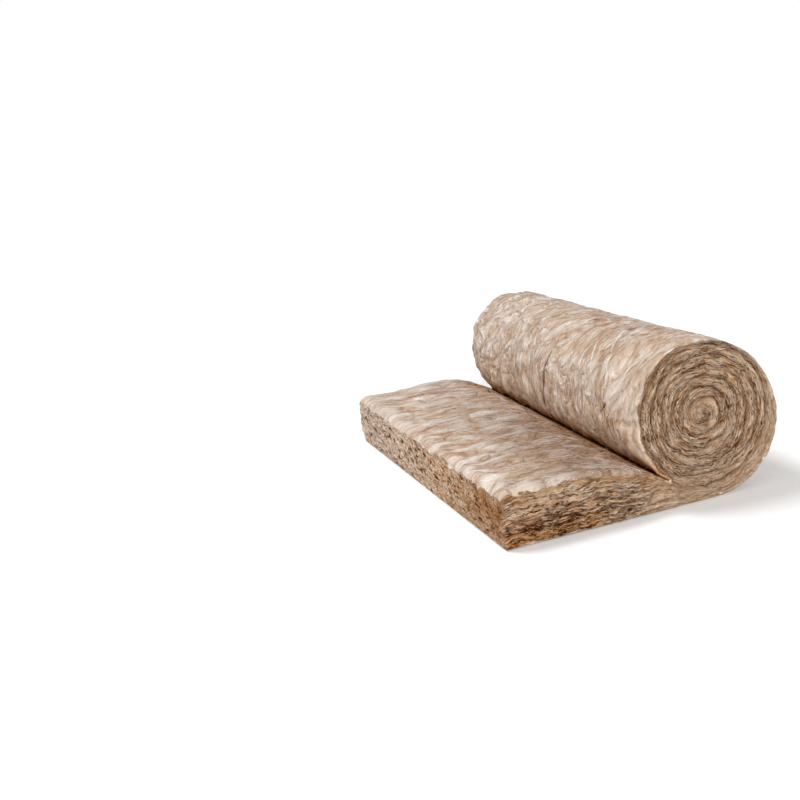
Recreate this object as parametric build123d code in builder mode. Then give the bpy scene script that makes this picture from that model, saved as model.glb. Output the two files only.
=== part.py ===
from build123d import *

# A mineral wool blanket for insulation, one piece of stock. Most of it is wound into a roll that lies
# on its side, and the outer end is let out flat on the floor. X runs along the blanket, Y across it
# and Z up. The origin is on the floor, under the middle of the whole thing.

import os
from math import cos, radians, sin, sqrt

# The blanket
blanket_width = 600.0
loose_thickness = 75.0
squeezed_thickness = 19.0
wound_thickness = 13.0

# The roll, whose outer turn is slack: thick on the side away from the tail, thin on the side above it
roll_height = 203.0
outer_turn_top = 6.5
outer_turn_right = 15.5
outer_turn_left = 4.5
slack_side = 18.0

# The tail, the stretch that lies flat, and the slope where the roll presses it down
tail_length = 283.0
end_skew = 28.0
end_rounding = 6.0
slope_radius = 210.0
nip_angle = 45.0

# The furrows between the soft folds in the top of the tail. Each runs from the free end towards the nip,
# from one place across the blanket to another.
furrow_depth = 6.0
furrow_radius = 16.0
furrow_lines = (
    (-255.0, -262.0),
    (-183.0, -222.0),
    (-146.0, -118.0),
    (-100.0, -72.0),
    (-48.0, -40.0),
    (38.0, -12.0),
    (72.0, 62.0),
    (120.0, 108.0),
    (162.0, 170.0),
    (212.0, 204.0),
    (258.0, 262.0),
)

# The gap between the turns, which shows in both ends of the roll
gap_width = 2.4
gap_depth = 8.0
mouth_angle = 8.0
eye_radius = 8.0

trim_allowance = 20.0

# The wound core is a spiral of quarter circles. Each quarter is smaller than the last by a quarter of
# the wound thickness.
quarter_step = wound_thickness / 4
core_radius = (roll_height - squeezed_thickness - outer_turn_top + quarter_step) / 2
core_quarters = int((core_radius - eye_radius) / quarter_step)

# The outer turn passes round the core at its own distance on each side
lower_left_radius = core_radius - 3 * quarter_step + outer_turn_left
upper_left_radius = core_radius + 2 * quarter_step + outer_turn_top - outer_turn_left - slack_side
lower_right_radius = (
    upper_left_radius + 2 * quarter_step + squeezed_thickness
    + outer_turn_top - outer_turn_left - outer_turn_right
)
upper_right_radius = roll_height - lower_right_radius

# Places along X, with the middle of the overall length at zero
overall_length = tail_length + end_skew + lower_right_radius
roll_right_x = overall_length / 2
contact_x = roll_right_x - lower_right_radius
near_corner_x = contact_x - tail_length
far_corner_x = near_corner_x - end_skew
core_x = roll_right_x - outer_turn_right - core_radius
side_bottom_z = squeezed_thickness + lower_left_radius

# The nip, where the outer turn comes down on the tail
nip_x = core_x - lower_left_radius * cos(radians(nip_angle))
nip_z = side_bottom_z - lower_left_radius * sin(radians(nip_angle))
slope_drop = loose_thickness - nip_z
slope_start_x = nip_x - sqrt(slope_drop * (2 * slope_radius - slope_drop))

# The furrows run level, so they fade out where the slope has fallen by their depth
furrow_start_x = far_corner_x - trim_allowance
furrow_stop_x = slope_start_x + 4 * furrow_radius
furrow_run = furrow_stop_x - furrow_start_x
furrow_z = loose_thickness - furrow_depth + furrow_radius

# The free end of the tail is cut a little out of square
end_cut = Plane(
    origin=(near_corner_x, -blanket_width / 2, 0),
    x_dir=(0, 0, 1),
    z_dir=(blanket_width, end_skew, 0),
)


def draw_gap_edge(outward):
    """Draw one edge of the gap, from its mouth above the nip to the eye, and return its two ends."""
    lead_radius = lower_left_radius + outward
    mouth = nip_angle - mouth_angle
    start = (
        core_x - lead_radius * cos(radians(mouth)),
        side_bottom_z - lead_radius * sin(radians(mouth)),
    )
    heading = (sin(radians(mouth)), -cos(radians(mouth)))
    edge = JernArc(start, heading, lead_radius, 90 - mouth)
    for quarter in range(core_quarters):
        radius = core_radius - quarter * quarter_step + outward
        edge = JernArc(edge @ 1, edge % 1, radius, 90)
    return start, edge @ 1


with BuildPart() as wool_blanket:
    with BuildSketch(Plane.XZ):
        with BuildLine():
            underside = Line((far_corner_x - trim_allowance, 0), (contact_x, 0))
            lower_right = JernArc(underside @ 1, underside % 1, lower_right_radius, 90)
            upper_right = JernArc(lower_right @ 1, lower_right % 1, upper_right_radius, 90)
            upper_left = JernArc(upper_right @ 1, upper_right % 1, upper_left_radius, 90)
            side = Line(upper_left @ 1, ((upper_left @ 1).X, side_bottom_z))
            lower_left = JernArc(side @ 1, side % 1, lower_left_radius, nip_angle)
            slope = RadiusArc(lower_left @ 1, (slope_start_x, loose_thickness), -slope_radius)
            tail_top = Line(slope @ 1, (far_corner_x - trim_allowance, loose_thickness))
            Line(tail_top @ 1, underside @ 0)
        make_face()
    extrude(amount=blanket_width / 2, both=True)
    split(bisect_by=end_cut, keep=Keep.TOP)
    free_end = wool_blanket.faces().sort_by(Axis.X)[0]
    long_edges = free_end.edges().group_by(Axis.Z)
    fillet(long_edges[0] + long_edges[-1], end_rounding)
    for start_y, stop_y in furrow_lines:
        furrow_direction = (furrow_run, stop_y - start_y, 0)
        with Locations(Plane(origin=(furrow_start_x, start_y, furrow_z), z_dir=furrow_direction)):
            Cylinder(
                radius=furrow_radius,
                height=furrow_run,
                align=(Align.CENTER, Align.CENTER, Align.MIN),
                mode=Mode.SUBTRACT,
            )
    for face_offset, cut in ((blanket_width / 2, -gap_depth), (-blanket_width / 2, gap_depth)):
        with BuildSketch(Plane.XZ.offset(face_offset)):
            with BuildLine():
                outer_start, outer_stop = draw_gap_edge(gap_width / 2)
                inner_start, inner_stop = draw_gap_edge(-gap_width / 2)
                Line(outer_start, inner_start)
                Line(outer_stop, inner_stop)
            make_face()
        extrude(amount=cut, mode=Mode.SUBTRACT)

wool_blanket.part.label = "wool_blanket"

os.makedirs("parts", exist_ok=True)
export_step(wool_blanket.part, "parts/wool_blanket.step")
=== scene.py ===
import math

import bpy
import numpy as np
from mathutils import Matrix, Vector


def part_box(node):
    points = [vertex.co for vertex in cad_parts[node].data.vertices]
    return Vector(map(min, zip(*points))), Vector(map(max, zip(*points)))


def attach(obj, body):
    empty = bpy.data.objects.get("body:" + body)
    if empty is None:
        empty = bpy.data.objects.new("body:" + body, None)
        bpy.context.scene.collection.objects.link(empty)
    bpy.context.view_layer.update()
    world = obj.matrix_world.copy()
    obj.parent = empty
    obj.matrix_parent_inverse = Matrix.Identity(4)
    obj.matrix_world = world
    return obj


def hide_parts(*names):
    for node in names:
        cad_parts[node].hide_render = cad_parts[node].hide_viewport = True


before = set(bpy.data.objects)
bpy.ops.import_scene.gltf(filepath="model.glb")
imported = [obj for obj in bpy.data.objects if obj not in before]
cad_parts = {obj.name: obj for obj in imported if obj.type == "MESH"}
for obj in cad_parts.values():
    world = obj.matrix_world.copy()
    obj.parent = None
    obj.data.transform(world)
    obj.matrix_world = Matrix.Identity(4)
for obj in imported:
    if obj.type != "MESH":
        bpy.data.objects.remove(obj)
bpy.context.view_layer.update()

# The blanket's box comes from its part in model.glb, in metres. The rest are its own sizes.
LOW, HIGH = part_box("wool_blanket")
WIDTH = HIGH.y - LOW.y
ROLL_HEIGHT = HIGH.z - LOW.z
LOOSE = 0.075
FAR_SIDE_EXTRA = 0.004
SQUEEZED = 0.019
WOUND = 0.013
TURN_TOP = 0.0065
TURN_RIGHT = 0.0155
TURN_LEFT = 0.0045
SLACK_SIDE = 0.018
END_SKEW = 0.028
SLOPE_RADIUS = 0.21
NIP_ANGLE = math.radians(45)
EYE_RADIUS = 0.007

# Furrows between the folds in the top of the tail: where each lies across the blanket at the free end
# and where the slope starts
FURROW_DEPTH = 0.006
FURROW_RADIUS = 0.016
FURROW_LINES = (
    (-0.255, -0.262), (-0.183, -0.222), (-0.146, -0.118), (-0.100, -0.072), (-0.048, -0.040),
    (0.038, -0.012), (0.072, 0.062), (0.120, 0.108), (0.162, 0.170), (0.212, 0.204), (0.258, 0.262),
)
FURROW_START = LOW.x - 0.02
FURROW_WOBBLE = 0.004
SHORT_WAVE = 0.021
LONG_WAVE = 0.047
FURROW_SHARPNESS = 1.3
FURROW_EDGE = 0.02

# Quarter circles of the skin, as in the wound roll: the core first, then the slack outer turn round it
QUARTER_STEP = WOUND / 4
CORE_RADIUS = (ROLL_HEIGHT - SQUEEZED - TURN_TOP + QUARTER_STEP) / 2
LOWER_LEFT = CORE_RADIUS - 3 * QUARTER_STEP + TURN_LEFT
UPPER_LEFT = CORE_RADIUS + 2 * QUARTER_STEP + TURN_TOP - TURN_LEFT - SLACK_SIDE
LOWER_RIGHT = UPPER_LEFT + 2 * QUARTER_STEP + SQUEEZED + TURN_TOP - TURN_LEFT - TURN_RIGHT
UPPER_RIGHT = ROLL_HEIGHT - LOWER_RIGHT
CORE_QUARTERS = int((CORE_RADIUS - EYE_RADIUS) / QUARTER_STEP)
CONTACT_X = HIGH.x - LOWER_RIGHT
NIP_X = HIGH.x - TURN_RIGHT - CORE_RADIUS - LOWER_LEFT * math.cos(NIP_ANGLE)
NIP_DROP = LOOSE - SQUEEZED - LOWER_LEFT * (1 - math.sin(NIP_ANGLE))
FURROW_STOP = NIP_X - math.sqrt(NIP_DROP * (2 * SLOPE_RADIUS - NIP_DROP)) + 4 * FURROW_RADIUS
FURROW_HALF_WIDTH = math.sqrt(FURROW_DEPTH * (2 * FURROW_RADIUS - FURROW_DEPTH))

# How finely the mesh is divided
QUARTER_STEPS = 45
TURN_STEPS = 4 * QUARTER_STEPS
WOUND_ROWS = 12
TAIL_ROWS = 48
ROWS_SHARED = TAIL_ROWS // WOUND_ROWS
TAIL_COLUMNS = 64
SKIN_PITCH = 0.003
RIM_PLACES = np.array((0.0, 0.0008, 0.0018, 0.0032, 0.0052))
UNDERSIDE_STRIDE = 8
SLOPE_STEPS = 24
TAIL_FADE_COLUMNS = 14
LIP_FADE_COLUMNS = 8
GAP_FADE_STEPS = 12

# The rounded shoulder between skin and cut face, and how far the nip reaches in
SHOULDER = 0.005
SHOULDER_SHARE = 0.3
NIP_REACH = 4
NIP_SHARE = (SLACK_SIDE + LOWER_LEFT * NIP_ANGLE) / (SLACK_SIDE + LOWER_LEFT * math.pi / 2)
NIP_INDEX = 3 * QUARTER_STEPS + round(NIP_SHARE * QUARTER_STEPS) + NIP_REACH
NIP_OPENING = 0.0015
RIM_RISE = 0.6
RIM_CUT = 0.4
END_ROUNDING = 0.007
END_COLUMNS = 3
END_BULGE = 0.002
FLOOR_LIP = 0.0012
LAYER_SPREAD = 0.62

# The bake map: skins and underside in one row, the free end and the two cut faces above them
SHEET_SIZE = 1.14
SKIN_LEFT = 0.36
UNDERSIDE_LEFT = 1.025
END_ROW = 0.615
FACE_ROW = 0.715
FACE_LEFTS = (0.21, 0.64)

# The way along the skin from the contact line to the nip
NIP_WAY = (LOWER_RIGHT + UPPER_RIGHT + UPPER_LEFT) * math.pi / 2 + SLACK_SIDE + LOWER_LEFT * NIP_ANGLE

# Where the free end's top edge is, halfway across
EDGE_X = LOW.x + END_SKEW / 2


def heading_vector(angle):
    return np.array((math.cos(angle), math.sin(angle)))


def wound_skin():
    """Points of the outer skin in the XZ plane, from the contact line inwards, and the way to each."""
    radii = [LOWER_RIGHT, UPPER_RIGHT, UPPER_LEFT, LOWER_LEFT]
    radii += [CORE_RADIUS - quarter * QUARTER_STEP for quarter in range(CORE_QUARTERS)]
    start = np.array((CONTACT_X, 0.0))
    heading = 0.0
    travelled = 0.0
    points = []
    ways = []
    for quarter, radius in enumerate(radii):
        straight = SLACK_SIDE if quarter == 3 else 0.0
        length = straight + radius * math.pi / 2
        way = np.linspace(0, length, QUARTER_STEPS, endpoint=False)
        turned = np.maximum(way - straight, 0) / radius
        centre = start + straight * heading_vector(heading) + radius * heading_vector(heading + math.pi / 2)
        arc = centre + radius * np.stack((np.sin(heading + turned), -np.cos(heading + turned)), -1)
        short = np.maximum(straight - way, 0)
        points.append(arc - short[:, None] * heading_vector(heading))
        ways.append(travelled + way)
        start = centre + radius * heading_vector(heading)
        heading += math.pi / 2
        travelled += length
    points.append(start[None])
    ways.append(np.array([travelled]))
    return np.concatenate(points), np.concatenate(ways)


def inward(points):
    """Unit normals of the skin's line that point into the blanket."""
    run = np.gradient(points, axis=0)
    run /= np.linalg.norm(run, axis=1)[:, None]
    return np.stack((-run[:, 1], run[:, 0]), -1)


def across_places():
    """Places along Y, closer together at the two ends."""
    inset = RIM_PLACES[-1]
    count = round((WIDTH - 2 * inset) / SKIN_PITCH)
    middle = np.linspace(LOW.y + inset, HIGH.y - inset, count + 1)
    return np.concatenate((LOW.y + RIM_PLACES[:-1], middle, HIGH.y - RIM_PLACES[:-1][::-1]))


class Builder:
    """Collects the vertices and faces of one mesh, with a place in wool space for each face corner."""

    def __init__(self):
        self.places = []
        self.rises = []
        self.notes = []
        self.runs = []
        self.count = 0
        self.faces = []
        self.corners = []

    def add_points(self, places, rises, notes, runs):
        """Add points and return their numbers in the same grid. notes are (cut, gap, tail, end)."""
        shape = places.shape[:-1]
        self.places.append(places.reshape(-1, 3))
        self.rises.append(np.broadcast_to(rises, places.shape).reshape(-1, 3))
        self.notes.append(np.broadcast_to(notes, shape + (4,)).reshape(-1, 4))
        self.runs.append(np.broadcast_to(runs, places.shape).reshape(-1, 3))
        numbers = np.arange(self.count, self.count + int(np.prod(shape))).reshape(shape)
        self.count += numbers.size
        return numbers

    def add_face(self, numbers, wool, flip=False):
        order = -1 if flip else 1
        self.faces.append(tuple(int(n) for n in numbers[::order]))
        self.corners.extend(wool[::order])

    def add_grid(self, numbers, wool, flip=False):
        """Add the quads of a grid. Corners that coincide are dropped."""
        ring = ((slice(None, -1), slice(None, -1)), (slice(1, None), slice(None, -1)),
                (slice(1, None), slice(1, None)), (slice(None, -1), slice(1, None)))
        if flip:
            ring = ring[::-1]
        quads = np.stack([numbers[part] for part in ring], -1).reshape(-1, 4)
        spots = np.stack([wool[part] for part in ring], -2).reshape(-1, 4, wool.shape[-1])
        for quad, spot in zip(quads.tolist(), spots):
            kept = [n for n in range(4) if quad[n] != quad[n - 1]]
            if len(kept) < 3:
                continue
            self.faces.append(tuple(quad[n] for n in kept))
            self.corners.extend(spot[kept])

    def mesh(self, name):
        made = bpy.data.meshes.new(name)
        made.from_pydata(np.concatenate(self.places).tolist(), [], self.faces)
        corners = np.array(self.corners, np.float32)
        notes = np.concatenate(self.notes).astype(np.float32)
        sheet = made.uv_layers.new(name="OFBake")
        sheet.data.foreach_set("uv", np.ascontiguousarray(corners[:, 6:8] / SHEET_SIZE).ravel())
        rises, runs = np.concatenate(self.rises), np.concatenate(self.runs)
        for label, domain, values in (
                ("wool", "CORNER", corners[:, 0:3]), ("spot", "CORNER", corners[:, 3:6]),
                ("rise", "POINT", rises), ("run", "POINT", runs)):
            vector = made.attributes.new(label, "FLOAT_VECTOR", domain)
            vector.data.foreach_set("vector", values.astype(np.float32).ravel())
        for column, note in enumerate(("cut", "gap", "tail", "end")):
            mark = made.attributes.new(note, "FLOAT", "POINT")
            mark.data.foreach_set("value", np.ascontiguousarray(notes[:, column]))
        return made


def wool_layers(thickness):
    """How far the layers count up through the blanket, in metres. Squeezed layers lie closer together."""
    return WOUND * (thickness / WOUND) ** LAYER_SPREAD


def tail_lines(end_x, thickness, skin):
    """The floor line and the top line of the tail, from the nip to the free end, in equal steps."""
    floor_x = np.linspace(skin[NIP_INDEX, 0], end_x, TAIL_COLUMNS + 1)
    floor = np.stack((floor_x, np.zeros(TAIL_COLUMNS + 1)), -1)
    out = -inward(skin)
    opening = np.linspace(0, NIP_OPENING, NIP_REACH + 1)[:, None]
    path = [skin[NIP_INDEX - step] + opening[step] * out[NIP_INDEX - step] for step in range(NIP_REACH + 1)]
    drop = thickness - path[-1][1]
    slope_x = path[-1][0] - math.sqrt(drop * (2 * SLOPE_RADIUS - drop))
    turn = math.acos(1 - drop / SLOPE_RADIUS)
    for angle in np.linspace(turn, 0, SLOPE_STEPS)[1:]:
        path.append(np.array((slope_x + SLOPE_RADIUS * math.sin(angle),
                              thickness - SLOPE_RADIUS * (1 - math.cos(angle)))))
    path.append(np.array((end_x, thickness)))
    path = np.array(path)
    way = np.concatenate(((0,), np.cumsum(np.linalg.norm(np.diff(path, axis=0), axis=1))))
    even = np.linspace(0, way[-1], TAIL_COLUMNS + 1)
    return floor, np.stack((np.interp(even, way, path[:, 0]), np.interp(even, way, path[:, 1])), -1)


def with_y(line, y):
    """A line in the XZ plane as places in space."""
    return np.stack((line[..., 0], np.broadcast_to(y, line.shape[:-1]), line[..., 1]), -1)


def shoulder_inset(y, radius):
    """How far the skin turns in beside a cut face."""
    near = np.minimum(y - LOW.y, HIGH.y - y)
    short = np.clip(radius - near, 0, None)
    return radius - np.sqrt(np.maximum(radius ** 2 - short ** 2, 0))


def furrows(x, y):
    """How deep the furrows cut at each place on the tail, as a share of their depth."""
    run = (x - FURROW_START) / (FURROW_STOP - FURROW_START)
    deepest = np.zeros(x.shape)
    for number, (start_y, stop_y) in enumerate(FURROW_LINES):
        line = start_y + (stop_y - start_y) * run
        line = line + FURROW_WOBBLE * np.sin(x / SHORT_WAVE + 2.4 * number) * np.sin(x / LONG_WAVE + number)
        away = np.minimum(np.abs(y - line) / FURROW_HALF_WIDTH, 1)
        deepest = np.maximum(deepest, (1 - away) ** FURROW_SHARPNESS)
    return deepest


def note_grid(shape, cut=0.0, gap=0.0, tail=0.0, end=0.0):
    """The notes of a grid's points, each from 0 to 1."""
    return np.stack([np.broadcast_to(note, shape) for note in (cut, gap, tail, end)], -1)


def corner_grid(shape, along=0.0, across=0.0, layers=0.0, from_floor=0.0, from_top=0.0, turn=0.0,
                u=0.0, v=0.0):
    """A grid's places in wool space, how deep each lies in the blanket, and its place in the bake map."""
    values = (along, across, layers, from_floor, from_top, turn, u, v)
    return np.stack([np.broadcast_to(value, shape) for value in values], -1)


def cut_corners(places, along, thickness, side, turn=0.0):
    """The corner grid of rows that count up through the blanket on a cut face."""
    rows = np.linspace(0, 1, places.shape[1])
    thick = thickness[:, None]
    return corner_grid(places.shape[:-1], along[:, None], places[..., 1], wool_layers(thick) * rows,
                       thick * rows, thick * (1 - rows), turn, places[..., 0] + FACE_LEFTS[side],
                       places[..., 2] + FACE_ROW)


def between(first, last, share):
    """Places at a share of the way from the first to the last."""
    return first * (1 - share[..., None]) + last * share[..., None]


def beside(normals):
    """The directions along a line in the XZ plane that has these normals."""
    return with_y(np.stack((normals[:, 1], -normals[:, 0]), -1), 0.0)


def skin_rises(normals, count, strength=1.0):
    """Which way the relief moves the skin: along its normals, and out over the cut faces at the two rims."""
    rises = np.repeat(with_y(normals, 0.0)[:, None] * strength, count, 1)
    for side, outward in ((0, -1), (-1, 1)):
        rises[:, side] = (rises[:, side] + (0, outward, 0)) * RIM_RISE
    return rises


def blanket_mesh():
    """The whole blanket as one closed mesh, before its relief."""
    skin, way = wound_skin()
    inner = inward(skin)
    run = beside(inner)
    last = len(skin) - 1
    y = across_places()
    share = (y - LOW.y)[None] / WIDTH
    build = Builder()
    rim_cut = np.zeros(len(y))
    rim_cut[[0, -1]] = RIM_CUT

    ahead = np.minimum(np.arange(last + 1) + TURN_STEPS, last)
    thickness = np.linalg.norm(skin[ahead] - skin, axis=1)
    thickness[last - TURN_STEPS:] = thickness[last - TURN_STEPS]
    shoulder = np.minimum(SHOULDER, SHOULDER_SHARE * thickness)

    # The roll's skin, from the contact line to the bottom of the nip
    wound = slice(0, NIP_INDEX + 1)
    places = with_y(np.repeat(skin[wound, None], len(y), 1), y)
    places += shoulder_inset(y[None], shoulder[wound, None])[..., None] * with_y(inner, 0.0)[wound, None]
    shape = places.shape[:-1]
    roll = build.add_points(places, skin_rises(-inner[wound], len(y)), note_grid(shape, cut=rim_cut),
                            run[wound, None])
    turns = np.arange(NIP_INDEX + 1)[:, None] / TURN_STEPS
    build.add_grid(roll, corner_grid(shape, way[wound, None], y, from_top=thickness[wound, None], turn=turns,
                                     u=way[wound, None] + SKIN_LEFT, v=y - LOW.y), flip=True)

    # The top of the tail, from the bottom of the nip to the free end
    near_floor, near_top = tail_lines(LOW.x + END_SKEW, LOOSE, skin)
    far_floor, far_top = tail_lines(LOW.x, LOOSE + FAR_SIDE_EXTRA, skin)
    floor_line = between(near_floor[:, None], far_floor[:, None], share)
    top_places = with_y(between(near_top[:, None], far_top[:, None], share), y)
    columns = np.arange(TAIL_COLUMNS + 1)
    open_share = np.clip((columns - NIP_REACH) / LIP_FADE_COLUMNS, 0, 1)
    top_places[..., 2] -= shoulder_inset(y[None], SHOULDER * open_share[:, None] + 1e-6)
    end_share = np.clip(1 - (TAIL_COLUMNS - columns) / END_COLUMNS, 0, 1)
    top_places[..., 2] -= (END_ROUNDING * end_share ** 2)[:, None]
    furrow = furrows(top_places[..., 0], top_places[..., 1])
    level = np.clip(1 - (top_places[..., 2].max() - top_places[..., 2]) / FURROW_DEPTH / 2, 0, 1)
    edge_share = 1 - 0.5 * np.clip(1 - (top_places[..., 0] - top_places[-1:, :, 0]) / FURROW_EDGE, 0, 1)
    top_places[..., 2] -= FURROW_DEPTH * furrow * level * edge_share
    top_normal = inward(near_top)
    top_normal *= np.sign(top_normal[:, 1:] + 1e-9)
    rises = skin_rises(top_normal, len(y), open_share[:, None, None])
    tail_share = np.clip(columns / TAIL_FADE_COLUMNS, 0, 1)[:, None]
    shape = top_places.shape[:-1]
    notes = note_grid(shape, rim_cut, furrow * level, tail_share)
    top = np.empty(shape, int)
    top[0] = roll[NIP_INDEX]
    top[1:] = build.add_points(top_places[1:], rises[1:], notes[1:], beside(top_normal)[1:, None])
    tail_way = np.concatenate(((0,), np.cumsum(np.linalg.norm(np.diff(near_floor, axis=0), axis=1))))
    nip_way = (NIP_INDEX - TURN_STEPS) * (CONTACT_X - skin[NIP_INDEX, 0]) / (TURN_STEPS - NIP_INDEX)
    tail_along = nip_way - tail_way
    tail_thickness = near_top[:, 1] - near_floor[:, 1]
    build.add_grid(top, corner_grid(shape, tail_along[:, None], y, wool_layers(tail_thickness)[:, None],
                                    tail_thickness[:, None], u=tail_along[:, None] + SKIN_LEFT, v=y - LOW.y),
                   flip=True)

    # The free end
    rise_share = np.linspace(0, 1, TAIL_ROWS + 1)[:, None]
    foot = with_y(floor_line[-1], y)
    foot[..., 2] = FLOOR_LIP
    places = between(foot[None], top_places[-1:], rise_share)
    places[..., 0] -= END_BULGE * np.sin(math.pi * rise_share)
    shape = places.shape[:-1]
    notes = note_grid(shape, 1.0, 0.0, 1.0, 1.0)
    notes[0, :, 0] = RIM_CUT
    end = np.empty(shape, int)
    end[-1] = top[-1]
    out = np.array(Vector((-WIDTH, -END_SKEW, 0)).normalized())
    end[:-1] = build.add_points(places[:-1], out, notes[:-1], (0, 1, 0))
    build.add_grid(end, corner_grid(shape, tail_along[-1], y, wool_layers(tail_thickness[-1]) * rise_share,
                                    rise_share * LOOSE, (1 - rise_share) * LOOSE, u=y - LOW.y,
                                    v=rise_share * LOOSE + END_ROW))

    # The two cut faces, each from the free end to the eye of the roll
    floor_columns = TURN_STEPS - NIP_INDEX
    floor_ahead = np.linspace(skin[NIP_INDEX, 0], CONTACT_X, floor_columns + 1)[:-1]
    count = floor_columns + last + 1
    inside = slice(1, -1)
    edges = []
    for side, edge_y, outward in ((0, LOW.y, -1.0), (-1, HIGH.y, 1.0)):
        facing = np.array((0, outward, 0))
        floor_edge = with_y(floor_line[:, side], edge_y)
        floor_edge[:, 2] = FLOOR_LIP
        foot = np.empty(TAIL_COLUMNS + 1, int)
        foot[-1] = end[0, side]
        foot[:-1] = build.add_points(floor_edge[:-1], facing, (RIM_CUT, 0, 1, 0), (1, 0, 0))
        rows = np.linspace(0, 1, TAIL_ROWS + 1)[None]
        places = between(floor_edge[:, None], top_places[:, side, None], rows)
        notes = note_grid(places.shape[:-1], 1.0, 0.0, tail_share)
        tail = np.empty(places.shape[:-1], int)
        tail[:, 0] = foot
        tail[:, -1] = top[:, side]
        tail[-1] = end[:, side]
        tail[:-1, inside] = build.add_points(places[:-1, inside], facing, notes[:-1, inside], (1, 0, 0))
        tail_wool = cut_corners(places, tail_along, tail_thickness, side)
        build.add_grid(tail, tail_wool, flip=side == 0)

        # The band under the roll and round it, numbered from the nip's floor line
        outer_line = np.concatenate((np.stack((floor_ahead, np.full(floor_columns, FLOOR_LIP)), -1), skin))
        outer_line[floor_columns:][wound] += shoulder[wound, None] * inner[wound]
        border = np.empty(count + TURN_STEPS, int)
        border[0] = foot[0]
        under_roll = slice(1, floor_columns)
        border[under_roll] = build.add_points(
            with_y(outer_line[under_roll], edge_y), facing, (RIM_CUT, 0, 0, 0), (1, 0, 0))
        border[floor_columns:][wound] = roll[:, side]
        fade = np.clip(np.arange(last - NIP_INDEX) / GAP_FADE_STEPS, 0, 1)
        hidden = slice(NIP_INDEX + 1, last + 1)
        border[floor_columns:count][hidden] = build.add_points(
            with_y(skin[hidden], edge_y), facing, note_grid(fade.shape, 1.0, fade), run[hidden])
        centre = skin[last] + EYE_RADIUS * inner[last]
        border[count:] = build.add_points(with_y(centre[None], edge_y), facing, (1, 0.5, 0, 0), (1, 0, 0))[0]
        inner_line = np.concatenate((outer_line[TURN_STEPS:], np.tile(centre, (TURN_STEPS, 1))))
        inner_line[:floor_columns + 1] = skin[NIP_INDEX:TURN_STEPS + 1]
        rows = np.linspace(0, 1, WOUND_ROWS + 1)[None]
        places = with_y(between(outer_line[:, None], inner_line[:, None], rows), edge_y)
        numbers = np.empty(places.shape[:-1], int)
        numbers[:, 0] = border[:count]
        numbers[:, -1] = border[TURN_STEPS:]
        numbers[0] = tail[0, ::ROWS_SHARED]
        band_run = np.concatenate((np.tile((1, 0, 0), (floor_columns, 1)), run))[:, None]
        numbers[inside, inside] = build.add_points(
            places[inside, inside], facing, (1, 0, 0, 0), band_run[inside])
        along = np.concatenate((np.linspace(nip_way, 0, floor_columns + 1)[:-1], way))
        turns = (np.arange(count)[:, None] - floor_columns) / TURN_STEPS + rows
        wool = cut_corners(places, along, np.linalg.norm(inner_line - outer_line, axis=1), side, turns)
        build.add_grid(numbers[inside], wool[inside], flip=side == -1)
        for row in range(WOUND_ROWS):
            shared = slice(ROWS_SHARED * row, ROWS_SHARED * (row + 1) + 1)
            build.add_face([*tail[0, shared], numbers[1, row + 1], numbers[1, row]],
                           [*tail_wool[0, shared], wool[1, row + 1], wool[1, row]], flip=side == 0)
        build.add_face([*numbers[-2], numbers[-1, 0]], [*wool[-2], wool[-1, 0]], flip=side == 0)
        edges.append(np.concatenate((foot[::-1], border[1:floor_columns + 1])))

    # The underside, coarser than the rest, flat on the floor
    kept = np.arange(UNDERSIDE_STRIDE, len(y) - UNDERSIDE_STRIDE + 1, UNDERSIDE_STRIDE)
    under_roll = np.linspace(skin[NIP_INDEX, 0], CONTACT_X, floor_columns + 1)[1:-1, None]
    floor_x = np.concatenate((floor_line[::-1, :, 0], np.repeat(under_roll, len(y), 1)))[1:]
    under_x = floor_x[:, kept]
    places = np.stack((under_x, np.broadcast_to(y[kept], under_x.shape), 0 * under_x), -1)
    under = build.add_points(places, (0, 0, 0), (0, 0, 0, 0), (1, 0, 0))
    rows = np.concatenate((edges[0][inside, None], under, edges[1][inside, None]), 1)
    stops = [0, *kept.tolist(), len(y) - 1]
    wool = corner_grid(rows.shape, across=y[stops], u=floor_x.mean(1)[:, None] + UNDERSIDE_LEFT,
                       v=y[stops] - LOW.y)
    build.add_grid(rows, wool, flip=True)
    for ends, row, edge_x, flip in ((end[0], 0, LOW.x, False), (roll[0], -1, CONTACT_X, True)):
        for column in range(len(stops) - 1):
            span = np.arange(stops[column], stops[column + 1] + 1)
            ring = [*ends[span], rows[row, column + 1], rows[row, column]]
            rim = corner_grid(span.shape, u=edge_x + UNDERSIDE_LEFT, v=y[span] - LOW.y)
            build.add_face(ring, np.concatenate((rim, wool[row, (column + 1, column)])), flip=flip)
    return build.mesh("wool_blanket_surface")


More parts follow.
